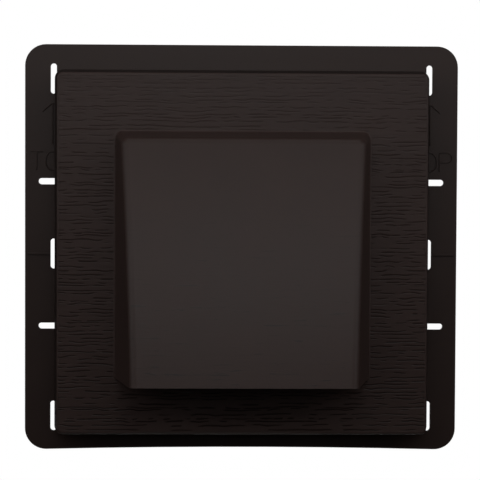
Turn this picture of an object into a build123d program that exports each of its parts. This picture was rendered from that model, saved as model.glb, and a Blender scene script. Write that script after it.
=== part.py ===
from build123d import *
import os
from math import atan2, cos, radians, sin, tan

os.makedirs("parts", exist_ok=True)

# Driving dimensions in millimetres. X runs across the vent, Z up the wall and Y along the duct.
# The wall is the plane y = 0, the front faces -Y, and a depth is a distance in front of the wall.

# Flange and its nail slots
flange_width = 215.4
flange_rise = 104.0  # top edge above the duct axis
flange_drop = 98.0  # bottom edge below the duct axis
flange_thickness = 2.2
flange_corner = 10.5
flange_edge = 0.5  # bevel of the front edge
flange_bow = 1.4  # how far the bottom edge is drawn in at its middle
slot_length = 15.0
slot_width = 3.1
slot_inset = 14.2  # slots' centre line from the flange's side edge
slot_end_inset = 17.0  # end slots' centres from the top and bottom edges
slot_spacing = 36.0  # level slots above and below the middle slot
mark_width = 0.8  # raised centre mark on each side of the flange
mark_height = 1.0
mark_inset = 1.5  # centre mark's end from the flange's side edge

# Duct collar behind the wall
collar_radius = 50.0
collar_wall = 2.5
collar_length = 45.0
collar_chamfer = 1.0

# Cover face and skirt
cover_rise = 1.0  # middle of the cover above the duct axis
cover_wall = 2.0
face_width = 181.0
face_height = 176.4
face_corner = 2.5
face_edge = 1.0  # rounding of the front edge
skirt_depth = 14.0
skirt_draft = 8.0  # degrees
siding_gap = 8.0  # room for the siding between the flange and the skirt
siding_cover = 8.0  # how far the face reaches past the socket, over the siding's cut edge

# Hood, a drafted wedge open below
hood_width = 124.0
hood_rise = 60.6  # top of the hood above the duct axis, at the cover face
hood_drop = 59.7  # lip below the duct axis
hood_top_depth = 17.5  # top edge in front of the cover face
hood_reach = 70.2  # lip in front of the wall
hood_draft = 10.5  # degrees, on the sides and the top
hood_crown = 3.0  # bulge of the front at the middle of its height
hood_corner = 4.0
hood_edge = 4.2  # rounding of the front edges
hood_root = 2.0  # rounding where the hood grows out of the face
sill_height = 4.0  # face left standing behind the mouth

# Snap fingers of the cover and their windows in the socket
socket_wall = 2.0
socket_corner = 4.0
finger_width = 16.0
finger_thickness = 1.8
finger_length = 13.5
finger_offset = 45.0  # from the middle of each side
hook_reach = 1.2
hook_length = 3.4
hook_tip = 1.0
snap_clearance = 0.3

# Damper and its hinge
damper_thickness = 1.6
damper_overlap = 3.0  # how far the damper reaches past the bore
damper_rim = 2.5  # height of the stiffening rim
damper_rim_wall = 1.6
damper_lean = 4.0  # degrees, lower edge outwards, so that it falls shut
damper_clearance = 0.3
seat_wall = 2.2
hinge_lift = 3.0  # hinge axis above the damper's round edge
hinge_depth = 7.5
hinge_length = 44.0
barrel_radius = 2.2
pin_radius = 1.5
pin_length = 3.0
pin_clearance = 0.1
ear_thickness = 3.0
ear_radius = 3.6
ear_clearance = 0.4

# Places worked out from the sizes above
flange_half = flange_width / 2
slot_line = flange_half - slot_inset
upright_heights = (flange_rise - slot_end_inset, 0, slot_end_inset - flange_drop)
upright_slots = [(side * slot_line, z) for side in (-1, 1) for z in upright_heights]
level_slots = [(side * slot_line, z) for side in (-1, 1) for z in (slot_spacing, -slot_spacing)]
bore_radius = collar_radius - collar_wall

skirt_back = flange_thickness + siding_gap
face_depth = skirt_back + skirt_depth
seat_depth = face_depth - cover_wall
skirt_spread = 2 * skirt_depth * tan(radians(skirt_draft))
skirt_inset = 2 * cover_wall / cos(radians(skirt_draft))
socket_width = face_width - skirt_inset - 2 * siding_cover
socket_height = face_height - skirt_inset - 2 * siding_cover

hood_lip_depth = hood_reach - face_depth
hood_taper = tan(radians(hood_draft))
hood_slope = atan2(
    hood_lip_depth - hood_top_depth,
    hood_rise - hood_top_depth * hood_taper + hood_drop,
)
hood_side_inset = cover_wall / cos(radians(hood_draft))
hood_front_inset = cover_wall / cos(hood_slope)

damper_radius = bore_radius + damper_overlap
hinge_rise = damper_radius + hinge_lift
lean = radians(damper_lean)
hinge_point = (0, -hinge_depth, hinge_rise)
damper_plane = Plane(origin=hinge_point, x_dir=(1, 0, 0), z_dir=(0, -cos(lean), sin(lean)))
seat_plane = damper_plane.offset(-damper_thickness / 2 - damper_clearance)
damper_middle = -hinge_rise / cos(lean)  # down the damper from its hinge


# A plane that faces the front at a depth, centred on the cover
def cover_plane(depth):
    return Plane(origin=(0, -depth, cover_rise), x_dir=(1, 0, 0), z_dir=(0, -1, 0))


# One plane for each snap finger: local x points out through the socket wall, local y is the depth
finger_planes = []
for outward, half_size in (
    (Vector(1, 0, 0), socket_width / 2),
    (Vector(-1, 0, 0), socket_width / 2),
    (Vector(0, 0, 1), socket_height / 2),
    (Vector(0, 0, -1), socket_height / 2),
):
    along = outward.cross(Vector(0, -1, 0))
    for place in (-finger_offset, finger_offset):
        foot = cover_plane(0).origin + outward * (half_size - socket_wall) + along * place
        finger_planes.append(Plane(origin=foot, x_dir=outward, z_dir=along))
finger_tip = seat_depth - finger_length
hook_catch = finger_tip + hook_length


# Hood wedge: a drafted block cut to the side profile, whose crowned front runs down to the lip
def hood_form(side_inset, front_inset, corner, edge):
    top = hood_rise - side_inset
    top_depth = hood_top_depth - front_inset
    lip_depth = hood_lip_depth - front_inset
    height = hood_lip_depth + hood_crown
    spare = height * hood_taper + hood_crown
    lip = (-face_depth - lip_depth, -hood_drop)
    brow = (-face_depth - top_depth, top - top_depth * hood_taper)
    middle = ((lip[0] + brow[0]) / 2 - hood_crown, (lip[1] + brow[1]) / 2)
    with BuildPart() as form:
        with BuildSketch(Plane.XZ.offset(face_depth)):
            with Locations((0, top)):
                Rectangle(
                    hood_width - 2 * side_inset,
                    top + hood_drop + spare,
                    align=(Align.CENTER, Align.MAX),
                )
        extrude(amount=height, taper=hood_draft)
        with BuildSketch(Plane.YZ):
            with BuildLine():
                ThreePointArc(lip, middle, brow)
                Polyline(brow, (brow[0], top), (-face_depth, top), (-face_depth, -hood_drop), lip)
            make_face()
        extrude(amount=hood_width, both=True, mode=Mode.INTERSECT)
        top_wall = faces().sort_by(Axis.Z)[-1]
        fillet(top_wall.edges().filter_by(lambda e: abs(e.tangent_at(0.5).X) < sin(radians(45))), corner)
        if edge > 0:
            front = faces().sort_by(Axis.Y)[0]
            fillet(front.edges().sort_by(Axis.Z)[1:], edge)
    return form.part


hood_outside = hood_form(0, 0, hood_corner, hood_edge)
hood_inside = hood_form(hood_side_inset, hood_front_inset, hood_corner - cover_wall, 0)

# Damper seat: a ring round the bore, cut off along the damper's lean
with BuildPart() as damper_seat:
    with BuildSketch(Plane.XZ):
        Circle(bore_radius + seat_wall)
        Circle(bore_radius, mode=Mode.SUBTRACT)
    extrude(amount=seat_depth)
    split(bisect_by=seat_plane, keep=Keep.BOTTOM)

# Mounting base: nail flange, socket for the cover, duct collar, damper seat and hinge ears
with BuildPart() as mounting_base:
    with BuildSketch(Plane.XZ):
        with BuildLine():
            Polyline(
                (flange_half, -flange_drop),
                (flange_half, flange_rise),
                (-flange_half, flange_rise),
                (-flange_half, -flange_drop),
            )
            ThreePointArc(
                (-flange_half, -flange_drop),
                (0, flange_bow - flange_drop),
                (flange_half, -flange_drop),
            )
        make_face()
        fillet(vertices(), flange_corner)
    extrude(amount=flange_thickness)
    chamfer(faces().sort_by(Axis.Y)[0].edges(), flange_edge)

    # nail slots, and a raised mark from each middle slot out to the edge
    with BuildSketch(Plane.XZ):
        with Locations(*upright_slots):
            SlotOverall(slot_length, slot_width, rotation=90)
        with Locations(*level_slots):
            SlotOverall(slot_length, slot_width)
    extrude(amount=flange_thickness, mode=Mode.SUBTRACT)
    mark_start = slot_line + slot_width / 2
    mark_end = flange_half - mark_inset
    with BuildSketch(Plane.XZ.offset(flange_thickness)):
        with Locations(*[(side * (mark_start + mark_end) / 2, 0) for side in (-1, 1)]):
            Rectangle(mark_end - mark_start, mark_width)
    extrude(amount=mark_height)

    # socket wall with a window for each snap finger
    with BuildSketch(cover_plane(flange_thickness)):
        RectangleRounded(socket_width, socket_height, socket_corner)
        RectangleRounded(
            socket_width - 2 * socket_wall,
            socket_height - 2 * socket_wall,
            socket_corner - socket_wall,
            mode=Mode.SUBTRACT,
        )
    extrude(amount=seat_depth - flange_thickness)
    window_start = finger_tip - snap_clearance
    window_end = hook_catch + snap_clearance
    with BuildSketch(*finger_planes):
        with Locations((socket_wall / 2, (window_start + window_end) / 2)):
            Rectangle(2 * socket_wall, window_end - window_start)
    extrude(amount=finger_width / 2 + snap_clearance, both=True, mode=Mode.SUBTRACT)

    # duct collar behind the wall and damper seat in front of it
    with BuildSketch(Plane.XZ):
        Circle(collar_radius)
    extrude(amount=-collar_length)
    chamfer(faces().sort_by(Axis.Y)[-1].edges(), collar_chamfer)
    add(damper_seat.part)
    with BuildSketch(Plane.XZ.offset(-collar_length)):
        Circle(bore_radius)
    extrude(amount=collar_length + flange_thickness, mode=Mode.SUBTRACT)

    # hinge ears
    ear_start = hinge_length / 2 + ear_clearance
    with BuildSketch(Plane.YZ.offset(ear_start), Plane.YZ.offset(-ear_start - ear_thickness)):
        with Locations((-flange_thickness, hinge_rise)):
            Rectangle(hinge_depth - flange_thickness, 2 * ear_radius, align=(Align.MAX, Align.CENTER))
        with Locations((-hinge_depth, hinge_rise)):
            Circle(ear_radius)
            Circle(pin_radius + pin_clearance, mode=Mode.SUBTRACT)
    extrude(amount=ear_thickness)

# Hood cover: face, skirt, hood and snap fingers in one moulding
with BuildPart() as hood_cover:
    with BuildSketch(cover_plane(skirt_back)):
        RectangleRounded(
            face_width + skirt_spread,
            face_height + skirt_spread,
            face_corner + skirt_spread / 2,
        )
    extrude(amount=skirt_depth, taper=skirt_draft)
    fillet(faces().sort_by(Axis.Y)[0].edges(), face_edge)
    with BuildSketch(cover_plane(skirt_back)):
        Rectangle(
            face_width + skirt_spread - skirt_inset,
            face_height + skirt_spread - skirt_inset,
        )
    extrude(amount=skirt_depth - cover_wall, taper=skirt_draft, mode=Mode.SUBTRACT)

    # hood, rounded into the face, and the way through the face behind it
    face_edges = edges()
    add(hood_outside)
    root_edges = (edges() - face_edges).filter_by_position(Axis.Y, -face_depth, -face_depth)
    fillet(root_edges.sort_by(Axis.Z)[1:], hood_root)
    add(hood_inside, mode=Mode.SUBTRACT)
    with BuildSketch(Plane.XZ.offset(seat_depth)):
        with Locations((0, hood_rise - hood_side_inset)):
            Rectangle(
                hood_width - 2 * hood_side_inset,
                hood_rise - hood_side_inset + hood_drop - sill_height,
                align=(Align.CENTER, Align.MAX),
            )
    extrude(amount=cover_wall, mode=Mode.SUBTRACT)

    # snap fingers, each hooked into its window
    with BuildSketch(*finger_planes):
        with BuildLine():
            Polyline(
                (-snap_clearance, seat_depth),
                (-snap_clearance, hook_catch),
                (hook_reach, hook_catch),
                (hook_reach, hook_catch - hook_tip),
                (-snap_clearance, finger_tip),
                (-snap_clearance - finger_thickness, finger_tip),
                (-snap_clearance - finger_thickness, seat_depth),
                close=True,
            )
        make_face()
    extrude(amount=finger_width / 2, both=True)

# Damper: a rimmed flap hung on two pins
with BuildPart() as damper:
    with BuildSketch(damper_plane):
        with Locations((0, damper_middle)):
            Circle(damper_radius)
        Rectangle(hinge_length, damper_radius, align=(Align.CENTER, Align.MAX))
    extrude(amount=damper_thickness / 2, both=True)
    with BuildSketch(damper_plane.offset(damper_thickness / 2)):
        with Locations((0, damper_middle)):
            Circle(damper_radius)
            Circle(damper_radius - damper_rim_wall, mode=Mode.SUBTRACT)
    extrude(amount=damper_rim)
    with Locations(Location(hinge_point)):
        Cylinder(barrel_radius, hinge_length, rotation=(0, 90, 0))
        Cylinder(pin_radius, hinge_length + 2 * pin_length, rotation=(0, 90, 0))

mounting_base.part.label = "mounting_base"
hood_cover.part.label = "hood_cover"
damper.part.label = "damper"
export_step(mounting_base.part, "parts/mounting_base.step")
export_step(hood_cover.part, "parts/hood_cover.step")
export_step(damper.part, "parts/damper.step")
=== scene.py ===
import bpy
import numpy as np
from mathutils import Matrix, Vector


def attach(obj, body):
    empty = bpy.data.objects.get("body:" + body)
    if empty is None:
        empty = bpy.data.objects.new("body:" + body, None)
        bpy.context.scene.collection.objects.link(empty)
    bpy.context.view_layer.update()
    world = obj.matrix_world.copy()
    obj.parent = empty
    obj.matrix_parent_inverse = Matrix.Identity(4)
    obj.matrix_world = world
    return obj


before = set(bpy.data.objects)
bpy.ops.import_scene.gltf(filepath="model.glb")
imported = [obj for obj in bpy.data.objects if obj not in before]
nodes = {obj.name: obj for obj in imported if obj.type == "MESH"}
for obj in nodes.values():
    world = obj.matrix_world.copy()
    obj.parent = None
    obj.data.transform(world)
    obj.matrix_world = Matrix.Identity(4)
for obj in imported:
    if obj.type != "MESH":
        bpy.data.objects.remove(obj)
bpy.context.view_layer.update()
scene = bpy.context.scene
mm = 0.001
tiny = 1e-9
print("frame loaded:", ", ".join(sorted(nodes)))


# Meshes

# puts whole arrays of points and quads into a new object; a quad that names one point twice becomes a triangle
def meshFromArrays(name, points, quads):
    mesh = bpy.data.meshes.new(name)
    mesh.from_pydata(points.reshape(-1, 3), [], quads.reshape(-1, 4))
    mesh.validate()
    mesh.polygons.foreach_set("use_smooth", np.full(len(mesh.polygons), True))
    mesh.update()
    piece = bpy.data.objects.new(name, mesh)
    scene.collection.objects.link(piece)
    return piece


# a quad for each cell of a grid of point numbers, going round the cell's four corners
def gridQuads(number):
    return np.stack([number[:-1, :-1], number[:-1, 1:], number[1:, 1:], number[1:, :-1]], -1)


# closed shell from two sheets on the same grid: the kept cells of the top sheet, the same cells of the bottom sheet
# turned over, and a wall wherever a kept cell borders on a dropped one; also gives the numbers of the points in use
def shellFromSheets(top, bottom, keep):
    rows, cols = keep.shape
    number = np.arange((rows + 1) * (cols + 1)).reshape(rows + 1, cols + 1)
    below = number + number.size
    quads = [gridQuads(number)[keep], gridQuads(below)[keep][:, ::-1]]
    wide = np.pad(keep, 1)
    sides = (
        (wide[:-2, 1:-1], (number[:-1, :-1], number[:-1, 1:]), (below[:-1, :-1], below[:-1, 1:])),
        (wide[2:, 1:-1], (number[1:, 1:], number[1:, :-1]), (below[1:, 1:], below[1:, :-1])),
        (wide[1:-1, :-2], (number[1:, :-1], number[:-1, :-1]), (below[1:, :-1], below[:-1, :-1])),
        (wide[1:-1, 2:], (number[:-1, 1:], number[1:, 1:]), (below[:-1, 1:], below[1:, 1:])),
    )
    for beside, (a, b), (c, d) in sides:
        quads.append(np.stack([b, a, c, d], -1)[keep & ~beside])
    used, quads = np.unique(np.concatenate(quads), return_inverse=True)
    return np.concatenate([top.reshape(-1, 3), bottom.reshape(-1, 3)])[used], quads.reshape(-1, 4), used


# 0 below low, 1 above high, and 3t^2 - 2t^3 between
def easeStep(low, high, value):
    t = np.clip((value - low) / (high - low), 0, 1)
    return t * t * (3 - 2 * t)


latticeSize = (131, 127)


# smooth noise of two parameters: seeded random numbers on a unit lattice, blended by 3t^2 - 2t^3 along each
def softNoise(u, v, seed):
    table = np.random.default_rng(seed).random(latticeSize)
    iu, iv = np.floor(u).astype(int), np.floor(v).astype(int)
    tu, tv = easeStep(0, 1, u - iu), easeStep(0, 1, v - iv)
    row, nextRow = iu % latticeSize[0], (iu + 1) % latticeSize[0]
    col, nextCol = iv % latticeSize[1], (iv + 1) % latticeSize[1]
    near = table[row, col] * (1 - tu) + table[nextRow, col] * tu
    far = table[row, nextCol] * (1 - tu) + table[nextRow, nextCol] * tu
    return near * (1 - tv) + far * tv


# a field of noise over the face: its size times how far the noise is above its middle
def noiseField(x, z, n):
    noise = softNoise(x / n["length"] + n["shift"][0], z / n["rise"] + n["shift"][1], n["seed"])
    return n["size"] * (noise - n["middle"])


# numbers drawn evenly between two ends
def drawBetween(ends, count, chance):
    return ends[0] + (ends[1] - ends[0]) * chance.random(count)


# Moulded wood grain on the face of the cover

grainFace = {
    "faceDepth": 24.2 * mm, "halfWidth": 90.5 * mm, "halfHeight": 88.2 * mm, "middle": 1.0 * mm,
    "corner": 2.5 * mm, "edge": 1.0 * mm, "draft": 8.0,
    "hole": (60.4 * mm, -57.0 * mm, 59.2 * mm),  # half width, bottom and top of what the hood covers
    "holeSlack": 0.1 * mm, "holeFade": 1.0 * mm,
    "columnStep": 0.8 * mm, "edgeColumns": 5, "edgeRows": 5, "sharpAngle": 3,
    "proud": 0.25 * mm, "sunk": 0.35 * mm, "border": 0.35 * mm, "borderFade": 0.7 * mm, "tuck": 0.06 * mm,
    "pitch": 1.85 * mm, "scatter": 0.5, "below": 0.22 * mm, "above": 0.64 * mm,  # a groove's run to its two brims
    "strength": (1.8, 0.36), "deepest": 1.2,  # how plain the strokes are at the bottom and at the top
    "depth": (0.08 * mm, 0.14 * mm), "length": (2.4 * mm, 6.0 * mm), "share": (0.32, 0.50),
    "strokeShift": 60, "seed": 11, "calmEdge": 4.0 * mm,
    "wave": {"size": 1.0 * mm, "length": 26.0 * mm, "rise": 13.0 * mm, "shift": (40, 40), "middle": 0.5, "seed": 5},
    "ripple": {"size": 0.9 * mm, "length": 4.2 * mm, "rise": 2.6 * mm, "shift": (50, 50), "middle": 0.5, "seed": 9},
    "swell": {"size": 0.022 * mm, "length": 16.0 * mm, "rise": 2.6 * mm, "shift": (30, 60), "middle": 0.8, "seed": 7},
}


# columns from low to high about a step apart that also meet the fixed places, and closer near both ends
def gridPlaces(low, high, fixed, g):
    stops = np.unique(np.array([low, low + g["edge"], high - g["edge"], high, *fixed]))
    counts = np.maximum(1, np.round(np.diff(stops) / g["columnStep"]).astype(int))
    counts[[0, -1]] = g["edgeColumns"]
    runs = [np.linspace(a, b, n, endpoint=False) for a, b, n in zip(stops[:-1], stops[1:], counts)]
    return np.concatenate(runs + [[high]])


# rows of the grain: every groove has a row at its bottom and one at each brim, scattered about an even pitch; gives the
# heights of the rows and, for each, the number of the groove whose bottom it is, or -1
def grooveRows(low, high, fixed, g, chance):
    near, pitch = g["edge"], g["pitch"]
    middles = np.arange(low + near + pitch / 2, high - near - pitch / 4, pitch)
    middles += pitch * g["scatter"] * (chance.random(len(middles)) - 0.5)
    ends = [np.linspace(low, low + near, g["edgeRows"]), np.linspace(high - near, high, g["edgeRows"]), fixed]
    places = np.concatenate([middles - g["below"], middles, middles + g["above"], *ends])
    groove = np.full(len(places), -1)
    groove[len(middles):2 * len(middles)] = np.arange(len(middles))
    order = np.argsort(places)
    return places[order], groove[order], len(middles)


# the face as a sheet on a grid: rows follow the grooves and bend with a slow wave, and a groove's bottom row is let in
# by its depth wherever noise along the groove is above a share, so that it breaks up into strokes
def buildGrainFace(g):
    chance = np.random.default_rng(g["seed"])
    halfHole, holeLow, holeHigh = g["hole"]
    lowZ, highZ = g["middle"] - g["halfHeight"] + g["border"], g["middle"] + g["halfHeight"] - g["border"]
    xs = gridPlaces(-g["halfWidth"] + g["border"], g["halfWidth"] - g["border"], (-halfHole, halfHole), g)
    zs, groove, count = grooveRows(lowZ, highZ, (holeLow, holeHigh), g, chance)
    depth = drawBetween(g["depth"], count, chance)
    length = drawBetween(g["length"], count, chance)
    x, z = np.meshgrid(xs, zs)
    along = x / length[groove][:, None] + g["strokeShift"]
    stroke = easeStep(*g["share"], softNoise(along, groove[:, None], g["seed"]))
    stroke = np.where(groove[:, None] < 0, 0, stroke * np.interp(z, (lowZ, highZ), g["strength"]))
    height = -depth[groove][:, None] * np.minimum(stroke, g["deepest"]) + noiseField(x, z, g["swell"])
    # the wave and the ripple on it die away towards the edges
    calm = easeStep(0, g["calmEdge"], np.minimum(z - lowZ, highZ - z))
    z = z + calm * (noiseField(x, z, g["wave"]) + noiseField(x, z, g["ripple"]))
    # pull the grid's corners in to the rounded corners of the face
    coreX, coreZ = g["halfWidth"] - g["corner"], g["halfHeight"] - g["corner"]
    outX, outZ = np.maximum(abs(x) - coreX, 0), np.maximum(abs(z - g["middle"]) - coreZ, 0)
    reach = np.hypot(outX, outZ)
    atCorner = (outX > 0) & (outZ > 0)
    pull = np.where(atCorner, np.minimum(1, (g["corner"] - g["border"]) / np.maximum(reach, tiny)), 1)
    x = np.sign(x) * (np.minimum(abs(x), coreX) + outX * pull)
    z = g["middle"] + np.sign(z - g["middle"]) * (np.minimum(abs(z - g["middle"]), coreZ) + outZ * pull)
    straightInset = np.minimum(g["halfWidth"] - abs(x), g["halfHeight"] - abs(z - g["middle"]))
    inset = np.where(atCorner, g["corner"] - reach * pull, straightInset)
    # the face's rounded edge drops along a circle that meets the face a run inside the edge
    run = g["edge"] * np.tan(np.radians(90 - g["draft"]) / 2)
    drop = g["edge"] - np.sqrt(g["edge"] ** 2 - np.clip(run - inset, 0, None) ** 2)
    # the sheet dips under the face at its border and under the hood
    fade = easeStep(g["border"], g["border"] + g["borderFade"], inset)
    underHood = easeStep(0, g["holeFade"], holeLow - z) + (z > holeLow)
    fade *= np.where(abs(x) < halfHole + g["holeSlack"], underHood, 1)
    lift = fade * (g["proud"] + height) - (1 - fade) * g["tuck"]
    top = np.stack([x, -g["faceDepth"] + drop - lift, z], -1)
    bottom = np.stack([x, -g["faceDepth"] + drop + g["sunk"], z], -1)
    midX, midZ = (x[:-1, :-1] + x[1:, 1:]) / 2, (zs[:-1] + zs[1:])[:, None] / 2
    keep = ~((abs(midX) < halfHole) & (midZ > holeLow) & (midZ < holeHigh))
    points, quads, used = shellFromSheets(top, bottom, keep)
    piece = meshFromArrays("cover_grain", points, quads)
    piece.data.set_sharp_from_angle(angle=np.radians(g["sharpAngle"]))
    # the groove attribute is the stroke strength where the sheet stands proud, stronger towards the bottom; the finish
    # paints it as shade in the grooves
    shade = np.concatenate([(stroke * fade).ravel(), np.zeros(stroke.size)])[used]
    piece.data.attributes.new("groove", "FLOAT", "POINT").data.foreach_set("value", shade)
    return piece


coverGrain = buildGrainFace(grainFace)
print("grain face:", len(coverGrain.data.polygons), "faces")


# Raised orientation marks on the flange

flangeMarks = {
    "flangeDepth": 2.2 * mm, "line": 94.0 * mm,
    "strokeWidth": 0.70 * mm, "strokeHeight": 0.50 * mm, "sunk": 0.15 * mm,
    "letterMiddle": 46.2 * mm, "letterHeight": 9.2 * mm, "letterWidth": 6.2 * mm, "letterPitch": 7.9 * mm,
    "ringWidth": 1.1, "bowlHeight": 0.25, "bowlStart": 0.3, "bowlRound": 0.7,  # shares of half a letter, or its height
    "arrowTop": 75.0 * mm, "arrowFoot": 54.5 * mm, "arrowSpan": 5.0 * mm, "arrowDrop": 4.4 * mm,
    "profilePoints": 7, "runPoints": 9, "ringPoints": 41, "bowlPoints": 15,
}


# bead along a path in the flange's plane: a half-ellipse profile, with its foot sunk, set square to the path at every
# point
def beadAlong(path, g, closed):
    along = np.roll(path, -1, 0) - np.roll(path, 1, 0) if closed else np.gradient(path, axis=0)
    along /= np.linalg.norm(along, axis=1, keepdims=True)
    across = np.stack([-along[:, 1], along[:, 0]], -1)
    turn = np.linspace(0, np.pi, g["profilePoints"])
    offset = np.concatenate([[1], np.cos(turn), [-1]]) * g["strokeWidth"] / 2
    rise = np.concatenate([[-g["sunk"]], np.sin(turn) * g["strokeHeight"], [-g["sunk"]]])
    flat = path[:, None, :] + across[:, None, :] * offset[None, :, None]
    level = np.broadcast_to(-g["flangeDepth"] - rise, flat.shape[:2])
    points = np.stack([flat[..., 0], level, flat[..., 1]], -1)
    count, around = points.shape[:2]
    number = np.arange(count * around).reshape(count, around)
    ring = np.concatenate([number, number[:1]]) if closed else number
    quads = gridQuads(np.concatenate([ring, ring[:, :1]], 1)).reshape(-1, 4)
    if not closed:  # each end is closed by quads between the two halves of the profile
        half = around // 2
        left, right = np.arange(half), around - 1 - np.arange(half)
        pairs = np.stack([left[:-1], right[:-1], right[1:], left[1:]], -1)
        cap = np.concatenate([pairs, [[left[-1], right[-1], half, half]]])
        quads = np.concatenate([quads, cap, cap[:, ::-1] + (count - 1) * around])
    return points.reshape(-1, 3), quads


# points of a straight run from a to b: a plus even shares of b less a
def straight(a, b, count):
    return np.array(a) + np.linspace(0, 1, count)[:, None] * (np.array(b) - np.array(a))


# points of an ellipse's arc between two angles: its middle plus the half axes times cosine and sine
def ellipse(middle, halfWide, halfHigh, start, end, count):
    turn = np.radians(np.linspace(start, end, count))
    return np.stack([middle[0] + halfWide * np.cos(turn), middle[1] + halfHigh * np.sin(turn)], -1)


# the marks of both sides: a bead along every stroke of the letters and of the arrow, joined into one mesh
def buildFlangeMarks(g):
    middle, half, halfHigh = g["letterMiddle"], g["letterWidth"] / 2, g["letterHeight"] / 2
    low, high = middle - halfHigh, middle + halfHigh
    bowl, run = g["letterHeight"] * g["bowlHeight"], g["runPoints"]
    beads = []
    for side in (-1, 1):
        line = side * g["line"]
        tee, pea = line - g["letterPitch"], line + g["letterPitch"]
        ring = ellipse((line, middle), half * g["ringWidth"], halfHigh, 0, 360, g["ringPoints"])[:-1]
        stem, bend = pea - half, pea + half * g["bowlStart"]
        loop = [
            straight((stem, high), (bend, high), run)[:-1],
            ellipse((bend, high - bowl), half * g["bowlRound"], bowl, 90, -90, g["bowlPoints"]),
            straight((bend, high - 2 * bowl), (stem, high - 2 * bowl), run)[1:],
        ]
        tip, legFoot = (line, g["arrowTop"]), g["arrowTop"] - g["arrowDrop"]
        paths = [
            straight((tee - half, high), (tee + half, high), run),
            straight((tee, high), (tee, low), run),
            ring,
            straight((stem, low), (stem, high), run),
            np.concatenate(loop),
            straight(tip, (line - g["arrowSpan"], legFoot), run),
            straight(tip, (line + g["arrowSpan"], legFoot), run),
            straight(tip, (line, g["arrowFoot"]), run),
        ]
        beads += [beadAlong(path, g, path is ring) for path in paths]
    starts = np.cumsum([0] + [len(p) for p, q in beads[:-1]])
    points = np.concatenate([p for p, q in beads])
    quads = np.concatenate([q + s for (p, q), s in zip(beads, starts)])
    return meshFromArrays("flange_marks", points, quads)


marksPiece = buildFlangeMarks(flangeMarks)
print("flange marks:", len(marksPiece.data.polygons), "faces")


# Finishes

# a node of a kind in a tree, with its plain settings and the values of its inputs
def addNode(tree, kind, values=None, **settings):
    made = tree.nodes.new(kind)
    for key, value in settings.items():
        setattr(made, key, value)
    for key, value in (values or {}).items():
        made.inputs[key].default_value = value
    return made


# a shader node group with named sockets, each given with its kind
def newGroup(name, inputs, outputs):
    tree = bpy.data.node_groups.new(name, "ShaderNodeTree")
    for way, sockets in (("INPUT", inputs), ("OUTPUT", outputs)):
        for label, kind in sockets.items():
            tree.interface.new_socket(label, in_out=way, socket_type="NodeSocket" + kind)
    return tree, tree.nodes.new("NodeGroupInput"), tree.nodes.new("NodeGroupOutput")


# how far a value is on the way from low to high, eased at both ends
def easedShare(tree, source, ends):
    values = {"From Min": ends[0], "From Max": ends[1]}
    share = addNode(tree, "ShaderNodeMapRange", values, interpolation_type="SMOOTHSTEP")
    tree.links.new(source, share.inputs["Value"])
    return share.outputs["Result"]


# one value times another
def product(tree, first, second):
    made = addNode(tree, "ShaderNodeMath", operation="MULTIPLY")
    tree.links.new(first, made.inputs[0])
    tree.links.new(second, made.inputs[1])
    return made.outputs[0]


# the three parts of a vector
def partsOf(tree, source):
    split = addNode(tree, "ShaderNodeSeparateXYZ")
    tree.links.new(source, split.inputs[0])
    return split.outputs


moulding = {
    "cloud": {"Scale": 28, "Detail": 4}, "speck": {"Scale": 1800, "Detail": 2},
    "speckShare": 0.35, "spread": {"From Min": 0.4, "From Max": 0.95},
}


# moulding tone: a slow cloud and a fine speckle of the plastic, which shift its colour and its gloss a little
def makeMouldingTone(m):
    tree, inp, out = newGroup(
        "mouldingTone",
        {"Vector": "Vector", "Dark": "Color", "Light": "Color", "Gloss Low": "Float", "Gloss High": "Float"},
        {"Color": "Color", "Roughness": "Float", "Speck": "Float"})
    link = tree.links.new
    cloud = addNode(tree, "ShaderNodeTexNoise", m["cloud"])
    speck = addNode(tree, "ShaderNodeTexNoise", m["speck"])
    for texture in (cloud, speck):
        link(inp.outputs["Vector"], texture.inputs["Vector"])
    both = addNode(tree, "ShaderNodeMath", {1: m["speckShare"]}, operation="MULTIPLY_ADD")
    link(speck.outputs["Fac"], both.inputs[0])
    link(cloud.outputs["Fac"], both.inputs[2])
    spread = addNode(tree, "ShaderNodeMapRange", m["spread"])
    link(both.outputs[0], spread.inputs["Value"])
    tone = addNode(tree, "ShaderNodeMix", data_type="RGBA")
    link(spread.outputs["Result"], tone.inputs["Factor"])
    link(inp.outputs["Dark"], tone.inputs["A"])
    link(inp.outputs["Light"], tone.inputs["B"])
    gloss = addNode(tree, "ShaderNodeMapRange")
    link(spread.outputs["Result"], gloss.inputs["Value"])
    link(inp.outputs["Gloss Low"], gloss.inputs["To Min"])
    link(inp.outputs["Gloss High"], gloss.inputs["To Max"])
    link(tone.outputs["Result"], out.inputs["Color"])
    link(gloss.outputs["Result"], out.inputs["Roughness"])
    link(speck.outputs["Fac"], out.inputs["Speck"])
    return tree


hoodGrain = {
    "noise": {"Scale": 1, "Detail": 5, "Roughness": 0.6, "Distortion": 0.4},
    "ridge": (0.34, 0.6), "front": (-0.80, -0.93),
    "stroke": (0.605, 0.68), "strokeDepth": (-27 * mm, -32 * mm), "strokeHeight": (40 * mm, -50 * mm),
}
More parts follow.
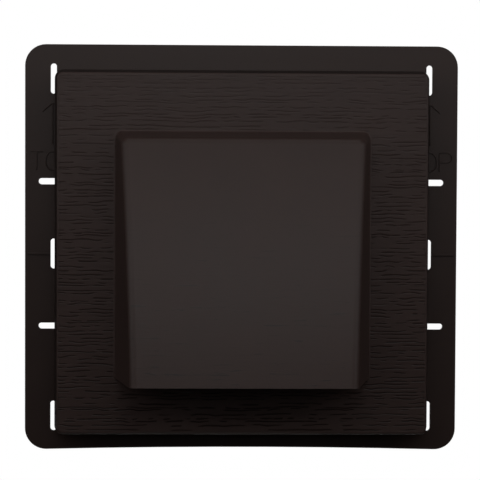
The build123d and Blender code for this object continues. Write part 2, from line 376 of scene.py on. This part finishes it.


# fine grain: noise drawn out along the width, so that it makes short level streaks, kept to faces that look to the
# front; its highest places are also given out as sparse strokes of painted shade on the lower front of the hood,
# stronger towards the bottom
def makeFineGrain(h):
    tree, inp, out = newGroup(
        "fineGrain", {"Vector": "Vector", "Normal": "Vector", "Length": "Float", "Pitch": "Float"},
        {"Height": "Float", "Streak Shade": "Float"})
    link = tree.links.new
    size = addNode(tree, "ShaderNodeCombineXYZ")
    for axis, label in (("X", "Length"), ("Y", "Length"), ("Z", "Pitch")):
        link(inp.outputs[label], size.inputs[axis])
    drawn = addNode(tree, "ShaderNodeVectorMath", operation="MULTIPLY")
    link(inp.outputs["Vector"], drawn.inputs[0])
    link(size.outputs[0], drawn.inputs[1])
    noise = addNode(tree, "ShaderNodeTexNoise", h["noise"])
    link(drawn.outputs[0], noise.inputs["Vector"])
    front = easedShare(tree, partsOf(tree, inp.outputs["Normal"])["Y"], h["front"])
    link(product(tree, easedShare(tree, noise.outputs["Fac"], h["ridge"]), front), out.inputs["Height"])
    place = partsOf(tree, inp.outputs["Vector"])
    strokes = product(tree, front, easedShare(tree, noise.outputs["Fac"], h["stroke"]))
    strokes = product(tree, strokes, easedShare(tree, place["Y"], h["strokeDepth"]))
    strokes = product(tree, strokes, easedShare(tree, place["Z"], h["strokeHeight"]))
    link(strokes, out.inputs["Streak Shade"])
    return tree


# depths behind the face over which the painted shade on the skirt fades in
skirtShadeEdge = (-23.9 * mm, -22.9 * mm)


# cover tone: painted shade, a colour darkened towards black in the grooves of the grain and on the plain skirt behind
# the face;
# the grooves also get a roughness of their own, with a narrower highlight
def makeCoverShadeAndGloss(edge):
    tree, inp, out = newGroup(
        "coverShadeAndGloss",
        {"Vector": "Vector", "Color": "Color", "Roughness": "Float", "Groove": "Float", "Groove Shade Share": "Float",
         "Groove Roughness": "Float", "Skirt Shade Share": "Float"},
        {"Color": "Color", "Roughness": "Float"})
    link = tree.links.new
    skirt = easedShare(tree, partsOf(tree, inp.outputs["Vector"])["Y"], edge)
    both = addNode(tree, "ShaderNodeMath", operation="ADD", use_clamp=True)
    link(product(tree, inp.outputs["Groove"], inp.outputs["Groove Shade Share"]), both.inputs[0])
    link(product(tree, skirt, inp.outputs["Skirt Shade Share"]), both.inputs[1])
    # painted shade: the colour is mixed towards black in the grooves and on the skirt
    tone = addNode(tree, "ShaderNodeMix", {"B": (0, 0, 0, 1)}, data_type="RGBA")
    link(both.outputs[0], tone.inputs["Factor"])
    link(inp.outputs["Color"], tone.inputs["A"])
    link(tone.outputs["Result"], out.inputs["Color"])
    gloss = addNode(tree, "ShaderNodeMapRange")
    link(inp.outputs["Groove"], gloss.inputs["Value"])
    link(inp.outputs["Roughness"], gloss.inputs["To Min"])
    link(inp.outputs["Groove Roughness"], gloss.inputs["To Max"])
    link(gloss.outputs["Result"], out.inputs["Roughness"])
    return tree


mouldingTone = makeMouldingTone(moulding)
fineGrain = makeFineGrain(hoodGrain)
coverShadeAndGloss = makeCoverShadeAndGloss(skirtShadeEdge)

finishes = {
    "smoothPlastic": {"dark": (0.0436, 0.0249, 0.0205), "light": (0.0541, 0.0310, 0.0254), "gloss": (0.39, 0.45),
                      "speck": 0.010 * mm},
    "grainedPlastic": {"dark": (0.0614, 0.0362, 0.0312), "light": (0.0760, 0.0450, 0.0386), "gloss": (0.39, 0.45),
                       # streak: how strongly the hood's streaks add to the painted shade; shares: how much painted
                       # shade falls in the grooves and on the skirt, and the grooves' roughness
                       "speck": 0.010 * mm, "grain": 0.008 * mm, "streak": 1.2, "drawn": {"Length": 50, "Pitch": 700},
                       "shares": {"Groove Shade Share": 0.5, "Groove Roughness": 0.28, "Skirt Shade Share": 0.6}},
    "damperPlastic": {"dark": (0.0436, 0.0249, 0.0205), "light": (0.0541, 0.0310, 0.0254), "gloss": (0.42, 0.50),
                      "speck": 0.010 * mm},
}


# dark moulded plastic: the tone group drives colour and gloss, and the speck and the fine grain drive a bump; where the
# plastic has grain, painted shade darkens its colour in the grooves and strokes and on the skirt, and the grooves and
# strokes also change the gloss
def makePlastic(name, f):
    material = bpy.data.materials.new(name)
    material.use_nodes = True
    tree = material.node_tree
    link = tree.links.new
    shader = tree.nodes["Principled BSDF"]
    place = addNode(tree, "ShaderNodeTexCoord").outputs["Object"]
    tone = addNode(tree, "ShaderNodeGroup", {
        "Dark": (*f["dark"], 1), "Light": (*f["light"], 1), "Gloss Low": f["gloss"][0], "Gloss High": f["gloss"][1],
    }, node_tree=mouldingTone)
    link(place, tone.inputs["Vector"])
    bump = addNode(tree, "ShaderNodeBump", {"Distance": f["speck"]})
    link(tone.outputs["Speck"], bump.inputs["Height"])
    colour, gloss, normal = tone.outputs["Color"], tone.outputs["Roughness"], bump.outputs["Normal"]
    if "grain" in f:
        grain = addNode(tree, "ShaderNodeGroup", f["drawn"], node_tree=fineGrain)
        link(place, grain.inputs["Vector"])
        link(addNode(tree, "ShaderNodeNewGeometry").outputs["Normal"], grain.inputs["Normal"])
        # painted shade: the hood's streaks and the groove attribute together darken the colour through the cover tone
        # group
        groove = addNode(tree, "ShaderNodeMath", {1: f["streak"]}, operation="MULTIPLY_ADD")
        link(grain.outputs["Streak Shade"], groove.inputs[0])
        link(addNode(tree, "ShaderNodeAttribute", attribute_name="groove").outputs["Fac"], groove.inputs[2])
        cover = addNode(tree, "ShaderNodeGroup", f["shares"], node_tree=coverShadeAndGloss)
        sources = {"Vector": place, "Color": colour, "Roughness": gloss, "Groove": groove.outputs[0]}
        for label, source in sources.items():
            link(source, cover.inputs[label])
        grainBump = addNode(tree, "ShaderNodeBump", {"Distance": f["grain"]})
        link(grain.outputs["Height"], grainBump.inputs["Height"])
        link(normal, grainBump.inputs["Normal"])
        colour, gloss, normal = cover.outputs["Color"], cover.outputs["Roughness"], grainBump.outputs["Normal"]
    link(colour, shader.inputs["Base Color"])
    link(gloss, shader.inputs["Roughness"])
    link(normal, shader.inputs["Normal"])
    return material


plastics = {name: makePlastic(name, f) for name, f in finishes.items()}
nodeFinishes = {"mounting_base": "smoothPlastic", "hood_cover": "grainedPlastic", "damper": "damperPlastic"}
for nodeName, finish in nodeFinishes.items():
    nodes[nodeName].data.materials.clear()
    nodes[nodeName].data.materials.append(plastics[finish])
pieceFinishes = ((coverGrain, "grainedPlastic", "grained_plastic"), (marksPiece, "smoothPlastic", "smooth_plastic"))
for piece, finish, slot in pieceFinishes:
    piece.data.materials.append(plastics[finish])
    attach(piece, "housing")
print("finishes:", ", ".join(plastics))


# Camera

viewPoint = {
    "target": (-0.609 * mm, 0, 7.027 * mm), "distance": 1.0, "yaw": 1.467, "pitch": 2.143, "roll": 0.268,
    "lens": 150, "sensor": 36, "clip": (0.05, 50),
}


# camera at a distance from its target: yaw turns it about the upright, pitch raises it, and roll turns its picture
def buildCamera(v):
    yaw, pitch, roll = np.radians([v["yaw"], v["pitch"], v["roll"]])
    away = Vector((-np.sin(yaw) * np.cos(pitch), -np.cos(yaw) * np.cos(pitch), np.sin(pitch)))
    right = (-away).cross(Vector((0, 0, 1))).normalized()
    up = right.cross(-away)
    level = (right * np.cos(roll) + up * np.sin(roll), up * np.cos(roll) - right * np.sin(roll), away)
    place = Vector(v["target"]) + away * v["distance"]
    lens = bpy.data.cameras.new("camera")
    lens.lens, lens.sensor_width, lens.sensor_fit = v["lens"], v["sensor"], "HORIZONTAL"
    lens.clip_start, lens.clip_end = v["clip"]
    camera = bpy.data.objects.new("camera", lens)
    camera.matrix_world = Matrix.Translation(place) @ Matrix(level).transposed().to_4x4()
    scene.collection.objects.link(camera)
    scene.camera = camera


buildCamera(viewPoint)
print("camera:", viewPoint["lens"], "mm lens")


# Stage

stage = {"floorHeight": -0.165, "floorHalf": 6.0, "floorPoints": 5, "ambient": 0.004, "white": 1.0}


# pale floor: a flat sheet that shines evenly, seen from above only
def buildFloor(s):
    count = s["floorPoints"]
    x, y = np.meshgrid(np.linspace(-1, 1, count) * s["floorHalf"], np.linspace(-1, 1, count) * s["floorHalf"])
    points = np.stack([x, y, np.full_like(x, s["floorHeight"])], -1)
    floor = meshFromArrays("floor", points, gridQuads(np.arange(count * count).reshape(count, count)))
    paint = bpy.data.materials.new("paleFloor")
    paint.use_nodes = True
    tree = paint.node_tree
    tree.nodes.clear()
    shine = addNode(tree, "ShaderNodeEmission", {"Strength": s["white"]})
    clear = addNode(tree, "ShaderNodeBsdfTransparent")
    side = addNode(tree, "ShaderNodeNewGeometry")
    mix = addNode(tree, "ShaderNodeMixShader")
    out = addNode(tree, "ShaderNodeOutputMaterial")
    tree.links.new(side.outputs["Backfacing"], mix.inputs[0])
    tree.links.new(shine.outputs[0], mix.inputs[1])
    tree.links.new(clear.outputs[0], mix.inputs[2])
    tree.links.new(mix.outputs[0], out.inputs["Surface"])
    floor.data.materials.append(paint)
    floor.visible_diffuse = floor.visible_glossy = floor.visible_shadow = False


# white to the camera, and a weak even light on the object
def buildWorld(s):
    world = bpy.data.worlds.new("studio")
    world.use_nodes = True
    scene.world = world
    tree = world.node_tree
    tree.nodes.clear()
    path = addNode(tree, "ShaderNodeLightPath")
    seen = addNode(tree, "ShaderNodeBackground", {"Strength": s["white"], "Color": (1, 1, 1, 1)})
    felt = addNode(tree, "ShaderNodeBackground", {"Strength": s["ambient"], "Color": (1, 1, 1, 1)})
    mix = addNode(tree, "ShaderNodeMixShader")
    out = addNode(tree, "ShaderNodeOutputWorld")
    tree.links.new(path.outputs["Is Camera Ray"], mix.inputs[0])
    tree.links.new(felt.outputs[0], mix.inputs[1])
    tree.links.new(seen.outputs[0], mix.inputs[2])
    tree.links.new(mix.outputs[0], out.inputs["Surface"])


lamps = {  # place, where it faces, width, height, power
    "key": ((0, -0.7, 0.085), (0, 1, 0), 0.20, 0.10, 0.06),
    "frontLow": ((0, -0.7, 0.25), (0, 1, 0), 1.80, 0.14, 0.811),
    "frontMiddle": ((0, -0.7, 0.42), (0, 1, 0), 1.80, 0.20, 0.598),
    "frontHigh": ((0, -0.7, 0.66), (0, 1, 0), 1.80, 0.28, 0.464),
    "left": ((-0.9, -0.45, 0.30), (1, 0, 0), 0.50, 0.60, 0.618),
    "right": ((0.9, -0.45, 0.30), (-1, 0, 0), 0.50, 0.60, 0.618),
    "farLeft": ((-0.9, -0.12, 0.30), (1, 0, 0), 0.40, 0.60, 0.163),
    "farRight": ((0.9, -0.12, 0.30), (-1, 0, 0), 0.40, 0.60, 0.163),
    "top": ((0, -0.3, 0.90), (0, 0, -1), 0.80, 0.60, 0.643),
    "rear": ((0, 1.2, -0.50), (0, -1, 0.4), 1.20, 0.60, 3.0),
    "low": ((0, -0.35, -0.80), (0, 0, 1), 0.60, 0.40, 0.22),
}


# a soft rectangular lamp for each row, unseen by the camera, with its back turned away from where it faces
def buildLamps(rig):
    for name, (place, facing, width, height, power) in rig.items():
        lamp = bpy.data.lights.new(name, "AREA")
        lamp.shape, lamp.size, lamp.size_y, lamp.energy = "RECTANGLE", width, height, power
        holder = bpy.data.objects.new(name, lamp)
        turn = (-Vector(facing)).to_track_quat("Z", "Y").to_matrix().to_4x4()
        holder.matrix_world = Matrix.Translation(place) @ turn
        holder.visible_camera = False
        scene.collection.objects.link(holder)


buildFloor(stage)
buildWorld(stage)
buildLamps(lamps)
scene.view_settings.view_transform = "Standard"
scene.view_settings.look = "None"
print("stage:", len(lamps), "lamps")
